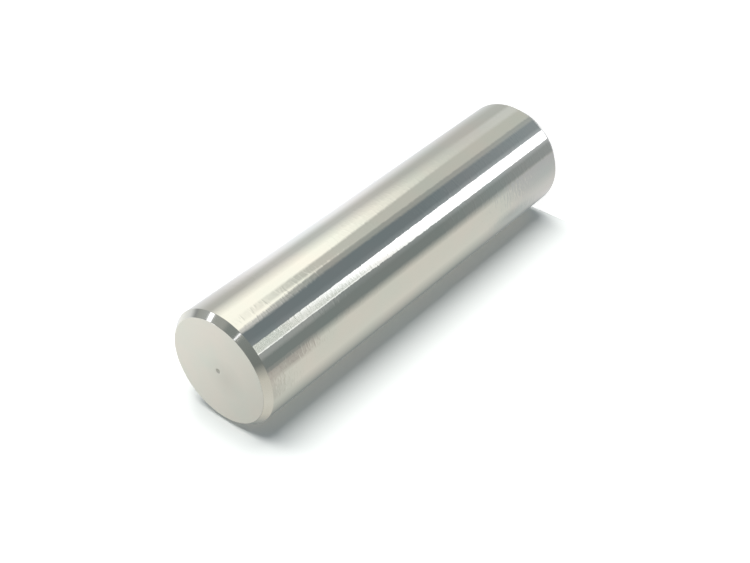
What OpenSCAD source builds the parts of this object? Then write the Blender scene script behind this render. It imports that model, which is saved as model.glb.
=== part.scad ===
// Linear shaft: a short round bar, ground to size along its whole length,
// faced square at both ends and chamfered so that a bearing slides on easily.
// Millimetres. The shaft stands on its lower end face, with its axis along +Z,
// and the origin is the centre of that face.

/* [Ground diameter] */
// Outside diameter of the bearing surface
shaft_d = 13; // [6:0.5:40]
// Overall length, from end face to end face
shaft_l = 50; // [20:1:300]

/* [Lead-in chamfers] */
// Length of each chamfer, measured along the axis
chamfer_l = 0.75; // [0.3:0.05:2]
// Depth of each chamfer, measured in from the outside diameter
chamfer_depth = 0.55; // [0.2:0.05:1.5]

/* [Turning centre] */
// Diameter of the small centre mark in the upper end face
mark_d = 0.6; // [0.3:0.1:2]
// Angle between opposite walls of the centre mark, in degrees
mark_angle = 120; // [60:5:150]

/* [Hidden] */

shaft_r = shaft_d / 2;
face_r = shaft_r - chamfer_depth;
mark_r = mark_d / 2;
mark_depth = mark_r / tan(mark_angle / 2);
round_sides = 96;

// Half section of the bar, with the axis on the left and the lower face on y = 0
module turned_section() {
    polygon([
        [0, 0],
        [face_r, 0],
        [shaft_r, chamfer_l],
        [shaft_r, shaft_l - chamfer_l],
        [face_r, shaft_l],
        [mark_r, shaft_l],
        [0, shaft_l - mark_depth]
    ]);
}

// The bar is one piece, so the section is turned once about the axis
module shaft() {
    color("gainsboro")
        rotate_extrude($fn = round_sides)
            turned_section();
}

shaft();
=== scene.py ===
"""Looks of a ground steel shaft: a short round bar standing on one end, with its marked end up.

Metres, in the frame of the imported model: the axis is +Z, and the lower end face lies on z = 0.
A pale bench top stands behind the bar and touches it along one line, as it does when the bar lies on it.
Directions are azimuths in degrees, counted from -Y towards +X, and heights in degrees above the level.
"""
import math

import bmesh
import bpy
from mathutils import Matrix, Vector


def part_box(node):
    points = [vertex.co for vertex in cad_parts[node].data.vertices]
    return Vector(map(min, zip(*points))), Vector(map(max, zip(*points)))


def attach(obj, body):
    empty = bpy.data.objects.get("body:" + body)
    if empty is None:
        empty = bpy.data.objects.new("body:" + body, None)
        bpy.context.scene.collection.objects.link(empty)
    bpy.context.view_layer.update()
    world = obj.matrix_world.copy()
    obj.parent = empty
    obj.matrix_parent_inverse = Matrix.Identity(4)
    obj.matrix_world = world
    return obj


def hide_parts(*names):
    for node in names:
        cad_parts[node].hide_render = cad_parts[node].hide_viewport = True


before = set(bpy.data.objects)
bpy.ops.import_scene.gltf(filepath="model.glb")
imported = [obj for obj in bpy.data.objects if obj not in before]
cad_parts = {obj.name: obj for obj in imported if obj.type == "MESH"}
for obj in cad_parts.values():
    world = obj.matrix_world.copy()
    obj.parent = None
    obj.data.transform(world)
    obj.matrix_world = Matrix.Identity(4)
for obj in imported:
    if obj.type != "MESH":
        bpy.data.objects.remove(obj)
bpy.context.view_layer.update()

MM = 0.001

# ---- the bar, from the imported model's box and the sizes of its turned details ----
low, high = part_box("shaft")
RADIUS = (high.x - low.x) / 2
LENGTH = high.z - low.z
CHAMFER_LENGTH = 0.75 * MM
CHAMFER_DEPTH = 0.55 * MM
FACE_RADIUS = RADIUS - CHAMFER_DEPTH
MARK_RADIUS = 0.3 * MM
MARK_ANGLE = 120            # between opposite walls of the centre mark
MARK_DEPTH = MARK_RADIUS / math.tan(math.radians(MARK_ANGLE / 2))
EDGE_ROUND = 0.03 * MM      # what deburring leaves on the edges
SIDES = 256
SAME_PLACE = 0.001 * MM
SHARP_EDGE = math.radians(20)
SMOOTH_EDGE = math.radians(3)
UPRIGHT = 0.1               # the most that the normal of an upright face rises

# ---- the set ----
LAMINATE = "#e8ebea"
FLOOR_GREY = "#c8c8c6"
BENCH_AZIMUTH = 39.6        # direction that the bench top faces
SET_REACH = 0.6             # how far the bench top and the floor go from their middles
FLOOR_GAP = 0.05 * MM
LAMP_AZIMUTH = 52
LAMP_POWER = 18
LAMP_SIZE = (1, 0.8)
LAMP_COLOUR = (1, 0.97, 0.935)
CAMERA_PLACE = Vector((0, -105.806, 109.068)) * MM
CAMERA_AIM = Vector((-2.303, -0.05, 28.416)) * MM
CAMERA_CLIP = 10 * MM
LENS = 60.09
SENSOR = 36

# A Mix node's colour sockets share their names with its number sockets, so they go by number.
MIX_A = 6
MIX_B = 7


def linear(hex_colour):
    """An sRGB hex colour as linear RGBA."""
    srgb = [int(hex_colour[i:i + 2], 16) / 255 for i in (1, 3, 5)]
    return [c / 12.92 if c <= 0.04045 else ((c + 0.055) / 1.055) ** 2.4 for c in srgb] + [1]


def add(tree, kind, inputs=None, output=None, **settings):
    """Adds a shader node and returns one of its outputs: the named one, or else the first in use.
    inputs gives each socket, by name or number, a value or the output that feeds it."""
    node = tree.nodes.new("ShaderNode" + kind)
    for name, value in settings.items():
        setattr(node, name, value)
    for socket, value in (inputs or {}).items():
        if isinstance(value, bpy.types.NodeSocket):
            tree.links.new(value, node.inputs[socket])
        else:
            node.inputs[socket].default_value = value
    if output:
        return node.outputs[output]
    return next((socket for socket in node.outputs if socket.enabled), None)


def direction(azimuth):
    """The level unit vector that points to an azimuth in degrees."""
    angle = math.radians(azimuth)
    return Vector((math.sin(angle), -math.cos(angle), 0))


def new_material(name):
    """An empty material, with its node tree."""
    material = bpy.data.materials.new(name)
    material.use_nodes = True
    material.node_tree.nodes.clear()
    return material, material.node_tree


# ---------------------------------------------------------------- materials

STEEL = "#d9d8d0"
WARM_STEEL = "#dcd8d0"
COOL_STEEL = "#d6d8d0"
# painted reflection: darker steel for the reflection beside the end face's centre mark
PAINTED_REFLECTION_STEEL = "#a8a9a2"


def film(tree, place, size):
    """Steel under a trace of oil: patches of about a size, a shade warmer or cooler."""
    patches = add(tree, "TexNoise", {"Vector": place, "Scale": 1 / size, "Detail": 2})
    share = add(tree, "MapRange", {"Value": patches, "From Min": 0.35, "From Max": 0.65})
    return add(tree, "Mix", {"Factor": share, MIX_A: linear(WARM_STEEL), MIX_B: linear(COOL_STEEL)},
               data_type="RGBA")


def ground_steel():
    """Bearing steel after centreless grinding: a bright surface whose fine marks run round the bar,
    so that a highlight stays crisp across the bar and smears along it."""
    material, tree = new_material("ground_bearing_steel")
    place = add(tree, "TexCoord", output="Object")
    # Grinding marks are a few micrometres apart. They are drawn 0.3 mm apart and 1 mm long, so that
    # they show, over a grain of 0.25 mm by 0.5 mm that breaks their edges.
    across_marks = add(tree, "Mapping", {"Vector": place, "Scale": (1.1 / MM, 1.1 / MM, 3 / MM)})
    marks = add(tree, "TexNoise", {"Vector": across_marks, "Scale": 1, "Detail": 1})
    deeper = add(tree, "MapRange", {"Value": marks, "From Min": 0.5, "From Max": 0.74})
    across_grain = add(tree, "Mapping", {"Vector": place, "Scale": (4 / MM, 4 / MM, 1.8 / MM)})
    grain = add(tree, "TexNoise", {"Vector": across_grain, "Scale": 1, "Detail": 0})
    relief = add(tree, "Math", {0: grain, 1: deeper}, operation="ADD")
    rough = add(tree, "MapRange", {"Value": marks, "To Min": 0.035, "To Max": 0.05})
    bump = add(tree, "Bump", {"Height": relief, "Strength": 1, "Distance": 0.0015 * MM})
    steel = add(tree, "BsdfPrincipled", {
        "Base Color": film(tree, place, 6 * MM),
        "Metallic": 1,
        "Roughness": rough,
        "Anisotropic": 0.5,
        "Anisotropic Rotation": 0.25,
        "Tangent": add(tree, "Tangent", direction_type="RADIAL", axis="Z"),
        "Normal": bump})
    add(tree, "OutputMaterial", {"Surface": steel})
    return material


def faced_steel():
    """The end faces, turned on a lathe: satin, with fine rings round a rougher centre mark."""
    material, tree = new_material("faced_bearing_steel")
    place = add(tree, "TexCoord", output="Object")
    flat = add(tree, "VectorMath", {0: place, 1: (1, 1, 0)}, operation="MULTIPLY")
    radius = add(tree, "VectorMath", {0: flat}, "Value", operation="LENGTH")
    ring_width = 0.08 * MM      # the tool's feed in one turn
    rings = add(tree, "TexNoise", {"W": radius, "Scale": 1 / ring_width, "Detail": 1},
                noise_dimensions="1D")
    rough = add(tree, "MapRange", {"Value": radius, "From Min": MARK_RADIUS, "From Max": 0.8 * MARK_RADIUS,
                                   "To Min": 0.3, "To Max": 0.65})
    # A darker patch just beside the mark: a painted reflection of something dark in the turned face
    painted_reflection_place = (-1 * MM, -0.25 * MM, LENGTH)
    beside = add(tree, "VectorMath", {0: place, 1: painted_reflection_place}, "Value", operation="DISTANCE")
    painted_reflection = add(tree, "MapRange", {"Value": beside, "From Min": 2.6 * MM, "From Max": 0.2 * MM,
                                   "To Max": 0.2})
    colour = add(tree, "Mix", {"Factor": painted_reflection, MIX_A: film(tree, place, 5 * MM),
                               MIX_B: linear(PAINTED_REFLECTION_STEEL)}, data_type="RGBA")
    bump = add(tree, "Bump", {"Height": rings, "Strength": 0.15, "Distance": 0.01 * MM})
    steel = add(tree, "BsdfPrincipled", {
        "Base Color": colour,
        "Metallic": 1,
        "Roughness": rough,
        "Normal": bump})
    add(tree, "OutputMaterial", {"Surface": steel})
    return material


def chamfer_steel():
    """The chamfers, cut in one light pass: nearly a mirror."""
    material, tree = new_material("chamfered_bearing_steel")
    steel = add(tree, "BsdfPrincipled", {"Base Color": linear(STEEL), "Metallic": 1, "Roughness": 0.1})
    add(tree, "OutputMaterial", {"Surface": steel})
    return material


# ---------------------------------------------------------------- the bar

# The bar's finishes, in the order of its materials
GROUND, FACED, CHAMFERED = range(3)


def finish_of(face):
    """The finish of one face of the bar. The ground side is upright, and the chamfers ring the ends."""
    centre = face.calc_center_median()
    if abs(face.normal.z) < UPRIGHT:
        return GROUND
    if math.hypot(centre.x, centre.y) > FACE_RADIUS - EDGE_ROUND:
        return CHAMFERED
    return FACED


def is_rim(edge):
    """Whether an edge is part of a sharp circle round the axis."""
    first, second = edge.verts
    return edge.calc_face_angle(0) > SHARP_EDGE and abs(first.co.z - second.co.z) < SAME_PLACE


def turned_bar():
    """The bar's half section, turned once round the axis, with its edges just broken."""
    half_section = [
        (0, 0),
        (FACE_RADIUS, 0),
        (RADIUS, CHAMFER_LENGTH),
        (RADIUS, LENGTH - CHAMFER_LENGTH),
        (FACE_RADIUS, LENGTH),
        (MARK_RADIUS, LENGTH),
        (0, LENGTH - MARK_DEPTH),
    ]
    bm = bmesh.new()
    points = [bm.verts.new((r, 0, z)) for r, z in half_section]
    for first, second in zip(points, points[1:]):
        bm.edges.new((first, second))
    bmesh.ops.spin(bm, geom=bm.verts[:] + bm.edges[:], axis=(0, 0, 1), cent=(0, 0, 0),
                   angle=2 * math.pi, steps=SIDES, use_merge=True)
    bmesh.ops.remove_doubles(bm, verts=bm.verts[:], dist=SAME_PLACE)
    bmesh.ops.recalc_face_normals(bm, faces=bm.faces[:])
    rims = [edge for edge in bm.edges if is_rim(edge)]
    bmesh.ops.bevel(bm, geom=rims, offset=EDGE_ROUND, offset_type="OFFSET", segments=3,
                    profile=0.5, affect="EDGES", material=-1, clamp_overlap=True)
    bmesh.ops.recalc_face_normals(bm, faces=bm.faces[:])
    for face in bm.faces:
        face.smooth = True
        face.material_index = finish_of(face)
    for edge in bm.edges:
        edge.smooth = edge.calc_face_angle(0) < SMOOTH_EDGE
    mesh = bpy.data.meshes.new("turned_bar")
    bm.to_mesh(mesh)
    bm.free()
    for material in (ground_steel(), faced_steel(), chamfer_steel()):
        mesh.materials.append(material)
    obj = bpy.data.objects.new("turned_bar", mesh)
    bpy.context.scene.collection.objects.link(obj)
    return obj


bar = turned_bar()
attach(bar, "root")
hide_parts("shaft")


# ---------------------------------------------------------------- floor and bench top

def pale_surface(name, colour, glow, one_sided):
    """Matt white laminate. The glow, which only the camera sees, brings its lit part up to white."""
    material, tree = new_material(name)
    matt = add(tree, "BsdfDiffuse", {"Color": linear(colour)})
    strength = add(tree, "Math", {0: add(tree, "LightPath", output="Is Camera Ray"), 1: glow},
                   operation="MULTIPLY")
    surface = add(tree, "AddShader", {0: matt, 1: add(tree, "Emission", {"Strength": strength})})
    if one_sided:
        behind = add(tree, "NewGeometry", output="Backfacing")
        surface = add(tree, "MixShader", {0: behind, 1: surface, 2: add(tree, "BsdfTransparent")})
    add(tree, "OutputMaterial", {"Surface": surface})
    return material


def plane(name, matrix, material):
    """A flat square of the set, placed by a matrix."""
    bm = bmesh.new()
    bmesh.ops.create_grid(bm, x_segments=1, y_segments=1, size=SET_REACH, matrix=matrix)
    mesh = bpy.data.meshes.new(name)
    bm.to_mesh(mesh)
    bm.free()
    mesh.materials.append(material)
    obj = bpy.data.objects.new(name, mesh)
    bpy.context.scene.collection.objects.link(obj)
    return obj


def add_bench(normal):
    """The bench top, upright behind the bar. The steel mirrors the room's own picture of it instead."""
    side = normal.cross(Vector((0, 0, 1)))
    matrix = Matrix((side, normal.cross(side), normal)).transposed().to_4x4()
    matrix.translation = -RADIUS * normal + Vector((0, 0, SET_REACH))
    surface = pale_surface("white_laminate", LAMINATE, glow=0.03, one_sided=True)
    bench = plane("bench_top", matrix, surface)
    bench.visible_glossy = False
    bench.visible_shadow = False


def add_floor():
    """A white floor that only the camera sees, so that it neither lights the bar nor shows in it."""
    matrix = Matrix.Translation((0, 0, -FLOOR_GAP))
    surface = pale_surface("pale_floor", FLOOR_GREY, glow=0.8, one_sided=False)
    floor = plane("floor", matrix, surface)
    for ray in ("visible_glossy", "visible_diffuse", "visible_transmission", "visible_shadow"):
        setattr(floor, ray, False)


bench_normal = direction(BENCH_AZIMUTH)
add_bench(bench_normal)
add_floor()


# ---------------------------------------------------------------- the room that the steel mirrors

# The room's colours, as the steel shows them
SHADE = "#767b75"       # the bench top in the bar's own shadow
BENCH = "#c8c6ba"       # the bench top beside it
SHADE_EDGE = "#a2a6a0"  # where that shadow ends, low down
DOORWAY = "#757b77"
SCREEN = "#6d7576"
PANEL = "#959790"
STONE = "#b7b7ac"       # a grey wall
WALL = "#afafa7"
PALE_WALL = "#cecfca"
DAYLIGHT = "#fafaf8"    # light that falls on a wall
TRIM = "#d0cfc8"        # a pale frame on each side of the window wall
CREAM = "#fbf9e9"       # a lit cream curtain
BROWN = "#9c978f"       # things on the far side of the bench
LOW_HAZE = "#bcc0bf"    # the veil on what lies low, bluish by the window and warm by the curtain
WINDOW_HAZE = "#d4d8d8"
CURTAIN_HAZE = "#d2d2cb"
DULL = "#979e92"        # the window between the slats of its blind
SLAT = "#f0f2ea"
BRIGHT_SLAT = "#f8faf4"
GLARE = (1.5, 1.5, 1.5, 1)
ALCOVE = "#bebbae"
DARK = "#70746f"
DUSK = "#7b807b"
UPPER_WALL = "#9d9f9a"
BEAM = "#868885"
UPPER_LIGHT = "#e9e8dd"
STRIPE = (1.6, 1.6, 1.6, 1)
CEILING = "#a9aaa3"
UNDERSIDE = "#5f6462"
FAR_BENCH = "#e6e6e3"
COOL_BENCH = "#bfbfb9"  # the bench top past the bar's far end, and duller towards the doorway
GREY_BENCH = "#b0b2ae"
DIM_BENCH = "#aaacaa"
SLAT_SPACING = 0.3      # in degrees of height
ROOM_LIGHT = (0.125, 0.175, 0.215, 1)      # what surfaces other than the steel get from the room
WHITE = (1, 1, 1, 1)

# Bands of the room as (azimuth, colour) stops: at the height that the bar's side mirrors, beyond its far
# end, and at the height that its chamfer and face mirror
WALLS = [
    (-160, SHADE), (-108, BENCH), (-63, BENCH), (-47, DOORWAY), (-20, DOORWAY), (3, SCREEN), (27, SCREEN),
    (32, PANEL), (39, PANEL), (43, STONE), (74, STONE), (98, WALL), (118, WALL), (168, PALE_WALL),
]
BENCH_END = [(-110, COOL_BENCH), (-84, GREY_BENCH), (-56, DIM_BENCH)]
ABOVE = [
    (-180, STONE), (-165, PANEL), (-152, PANEL), (-130, ALCOVE), (-105, BENCH), (-64, ALCOVE), (-35, DARK),
    (20, DUSK), (27, PANEL), (35, DUSK), (54, DUSK), (63, PANEL), (84, PANEL), (100, UPPER_WALL),
    (113, PANEL), (120, BEAM), (130, PALE_WALL), (160, UPPER_LIGHT),
]


def band_ramp(tree, azimuth, bands):
    """A colour ramp over one turn of azimuth."""
    turn = add(tree, "MapRange", {"Value": azimuth, "From Min": -180, "From Max": 180})
    colour = add(tree, "ValToRGB", {"Fac": turn})
    stops = colour.node.color_ramp.elements
    stops.remove(stops[1])
    for number, (place, hex_colour) in enumerate(bands):
        position = place / 360 + 0.5
        stop = stops[0] if number == 0 else stops.new(position)
        stop.position = position
        stop.color = linear(hex_colour)
    return colour


def worked_out(tree, value):
    """Turns a fade into the output that works it out, and leaves a number or an output as it is.
    A fade (value, start, end, first, last) goes from first to last while its value goes from start to
    end, and stays level outside them. Its first and last are 0 and 1 when they are left out."""
    if not isinstance(value, tuple):
        return value
    sockets = ("Value", "From Min", "From Max", "To Min", "To Max")
    return add(tree, "MapRange", dict(zip(sockets, value)))


def between(tree, value, start, end, soft):
    """1 where a value lies between two edges, falling to 0 over a soft width. An edge may be a fade."""
    steps = []
    for edge in (start, end):
        past = add(tree, "Math", {0: value, 1: worked_out(tree, edge)}, operation="SUBTRACT")
        steps.append(worked_out(tree, (past, -soft / 2, soft / 2)))
    return add(tree, "Math", {0: steps[0], 1: steps[1]}, operation="SUBTRACT")


def paint(tree, under, colour, *masks):
    """Lays a colour over another one, as strongly as the product of its masks, which may be fades."""
    strength = 1
    for mask in masks:
        strength = add(tree, "Math", {0: strength, 1: worked_out(tree, mask)}, operation="MULTIPLY")
    if isinstance(colour, str):
        colour = linear(colour)
    return add(tree, "Mix", {"Factor": strength, MIX_A: under, MIX_B: colour}, data_type="RGBA")


def view_angles(tree):
    """The azimuth and the height of the direction looked in, in degrees."""
    axes = add(tree, "SeparateXYZ", {0: add(tree, "TexCoord", output="Generated")}).node.outputs
    minus_y = add(tree, "Math", {0: axes["Y"], 1: -1}, operation="MULTIPLY")
    azimuth = add(tree, "Math", {0: axes["X"], 1: minus_y}, operation="ARCTAN2")
    height = add(tree, "Math", {0: axes["Z"]}, operation="ARCSINE")
    return [add(tree, "Math", {0: angle}, operation="DEGREES") for angle in (azimuth, height)]


def blind(tree, height):
    """1 on the slats of a blind and 0 between them."""
    turns = add(tree, "Math", {0: height, 1: 2 * math.pi / SLAT_SPACING}, operation="MULTIPLY")
    wave = add(tree, "Math", {0: turns}, operation="SINE")
    return worked_out(tree, (wave, -0.5, 0.5))


def lit_walls(tree, azimuth, height):
    """The walls, with daylight on the pale ones and a frame on each side of the window wall."""
    room = band_ramp(tree, azimuth, WALLS)
    room = paint(tree, room, DAYLIGHT, (azimuth, 112, 136, 0, 0.54), (height, -45, -37.8),
                 (height, -31.3, -33.8, 0.35, 1))
    room = paint(tree, room, DAYLIGHT, between(tree, azimuth, 84, 114, 10), (height, -32.3, -34, 0, 0.1),
                 (height, -41, -38))
    room = paint(tree, room, TRIM, between(tree, azimuth, 27, 40, 5), (height, -35.5, -31.5, 0, 0.74))
    return paint(tree, room, TRIM, between(tree, azimuth, -29, -16, 6), (height, -36, -34, 0, 0.2))


def curtain(tree, room, azimuth, height, slats):
    """A cream curtain, with a stone shelf before it and the blind's shadow on its edge."""
    start = (height, -31, -37, 34.3, 42)
    room = paint(tree, room, CREAM, between(tree, azimuth, start, 180, 4), (azimuth, 103, 76),
                 (height, -45, -36.8))
    shelf_start = (height, -34, -36.6, 43, 40)
    shelf_end = (height, -36, -43, 57.5, 66)
    room = paint(tree, room, STONE, between(tree, azimuth, shelf_start, shelf_end, 5), (height, -31, -35))
    return paint(tree, room, CREAM, (slats, 0, 1, 0, 0.08), between(tree, azimuth, 37, 56, 4),
                 between(tree, height, -38.5, -32.4, 1))


def bench_details(tree, room, azimuth, height):
    """What shows on the far side of the bench top, and the end of the bar's shadow on it."""
    room = paint(tree, room, BROWN, between(tree, azimuth, -71, -50.5, 9),
                 between(tree, height, -33, -20, 1.6), (height, -31.6, -32.2, 0.55, 1))
    # A darker edge, just beside the chamfer
    room = paint(tree, room, BROWN, between(tree, azimuth, -113, -66, 12), (height, -31.7, -30.6, 0, 0.45))
    room = paint(tree, room, DOORWAY, between(tree, azimuth, -54, -49, 2), (height, -33.8, -32.2, 0, 0.55))
    return paint(tree, room, SHADE_EDGE, between(tree, azimuth, -142, -108, 20),
                 between(tree, height, -46, -43.4, 1.2))


def haze(tree, room, azimuth, height):
    """The veil that makes what lies low in the room paler."""
    room = paint(tree, room, LOW_HAZE, (height, -41, -48, 0, 0.28), (azimuth, 46, 30))
    room = paint(tree, room, CURTAIN_HAZE, between(tree, azimuth, 68, 92, 8), (height, -42, -46, 0, 0.5))
    return paint(tree, room, WINDOW_HAZE, between(tree, azimuth, -27, 6, 8), (height, -37, -45, 0.08, 0.28))


def end_of_bench(tree, room, azimuth, height):
    """The bench top past the bar's far end, with its upper edge a little higher towards the doorway."""
    upper_edge = (azimuth, -165, -110, -45.7, -44.7)
    return paint(tree, room, band_ramp(tree, azimuth, BENCH_END), (azimuth, -49, -54),
                 between(tree, height, -90, upper_edge, 1.2))


def window(tree, room, azimuth, height, slats):
    """A window strip behind a blind, which glares lower down, with a bright frame on one side."""
    start = (height, -37, -39, -18.5, -20.8)
    end = (height, -38, -43, -0.8, 0.4)
    pane = paint(tree, linear(DULL), SLAT, slats)
    pane = paint(tree, pane, BRIGHT_SLAT, between(tree, height, -34.5, -33.4, 0.6), (slats, 0, 1, 0.5, 0.3))
    # The glare starts higher on one side of the strip than on the other.
    middle, tilt = -8, -0.28
    aside = add(tree, "Math", {0: azimuth, 1: middle}, operation="SUBTRACT")
    leaning = add(tree, "Math", {0: aside, 1: tilt, 2: height}, operation="MULTIPLY_ADD")
    pane = paint(tree, pane, GLARE, (leaning, -33.8, -40.5))
    pane = paint(tree, pane, BRIGHT_SLAT, between(tree, azimuth, -21, -16.8, 0.8), (height, -38.5, -37.5))
    return paint(tree, room, pane, between(tree, azimuth, start, end, 0.8))


def above(tree, room, azimuth, height):
    """What lies over the level of the walls, with two bright upright stripes, and the ceiling."""
    room = paint(tree, room, band_ramp(tree, azimuth, ABOVE), (height, -22, -10))
    for start, end, lowest in ((86.5, 94.5, 12), (29.4, 31.6, 30)):
        room = paint(tree, room, STRIPE, between(tree, azimuth, start, end, 1),
                     between(tree, height, lowest, 46, 4))
    return paint(tree, room, CEILING, (height, 55, 70))


def add_room():
    """A room with a window strip between dark walls, as bands by azimuth that change with height.
    Only the steel mirrors it: the camera sees white, and other surfaces get an even light."""
    world = bpy.data.worlds.new("room")
    bpy.context.scene.world = world
    world.use_nodes = True
    tree = world.node_tree
    tree.nodes.clear()
    azimuth, height = view_angles(tree)
    slats = blind(tree, height)
    room = lit_walls(tree, azimuth, height)
    room = curtain(tree, room, azimuth, height, slats)
    room = bench_details(tree, room, azimuth, height)
    room = haze(tree, room, azimuth, height)
    room = end_of_bench(tree, room, azimuth, height)
    room = window(tree, room, azimuth, height, slats)
    room = above(tree, room, azimuth, height)
    room = paint(tree, room, UNDERSIDE, (height, -50, -54))
    room = paint(tree, room, FAR_BENCH, (height, -59.2, -59.8))
    # The colours above are the steel's picture of the room, so its own tint is taken out again.
    untinted = add(tree, "VectorMath", {0: room, 1: linear(STEEL)[:3]}, operation="DIVIDE")
    shown = paint(tree, untinted, ROOM_LIGHT, add(tree, "LightPath", output="Is Diffuse Ray"))
    shown = paint(tree, shown, WHITE, add(tree, "LightPath", output="Is Camera Ray"))
    add(tree, "OutputWorld", {"Surface": add(tree, "Background", {"Color": shown, "Strength": 1})})


add_room()


# ---------------------------------------------------------------- lamp and camera

def add_key_lamp():
    """One soft lamp, which throws the bar's shadow on the bench top and stays out of the steel."""
    data = bpy.data.lights.new("key_softbox", "AREA")
    data.shape = "RECTANGLE"
    data.size, data.size_y = LAMP_SIZE
    data.energy = LAMP_POWER
    data.color = LAMP_COLOUR
    lamp = bpy.data.objects.new("key_softbox", data)
    bpy.context.scene.collection.objects.link(lamp)
    lamp.location = direction(LAMP_AZIMUTH) + Vector((0, 0, LENGTH / 2))
    lamp.rotation_euler = direction(LAMP_AZIMUTH).to_track_quat("Z", "Y").to_euler()
    lamp.visible_camera = False
    lamp.visible_glossy = False


def add_camera(place, aim, up_hint):
    """The camera, turned so that the bench top lies level in its view."""
    data = bpy.data.cameras.new("camera")
    data.lens = LENS
    data.sensor_width = SENSOR
    data.clip_start = CAMERA_CLIP
    camera = bpy.data.objects.new("camera", data)
    bpy.context.scene.collection.objects.link(camera)
    back = (place - aim).normalized()
    right = up_hint.cross(back).normalized()
    turn = Matrix((right, back.cross(right), back)).transposed().to_4x4()
    camera.matrix_world = Matrix.Translation(place) @ turn
    bpy.context.scene.camera = camera


add_key_lamp()
add_camera(CAMERA_PLACE, CAMERA_AIM, bench_normal)
bpy.context.scene.view_settings.view_transform = "Standard"
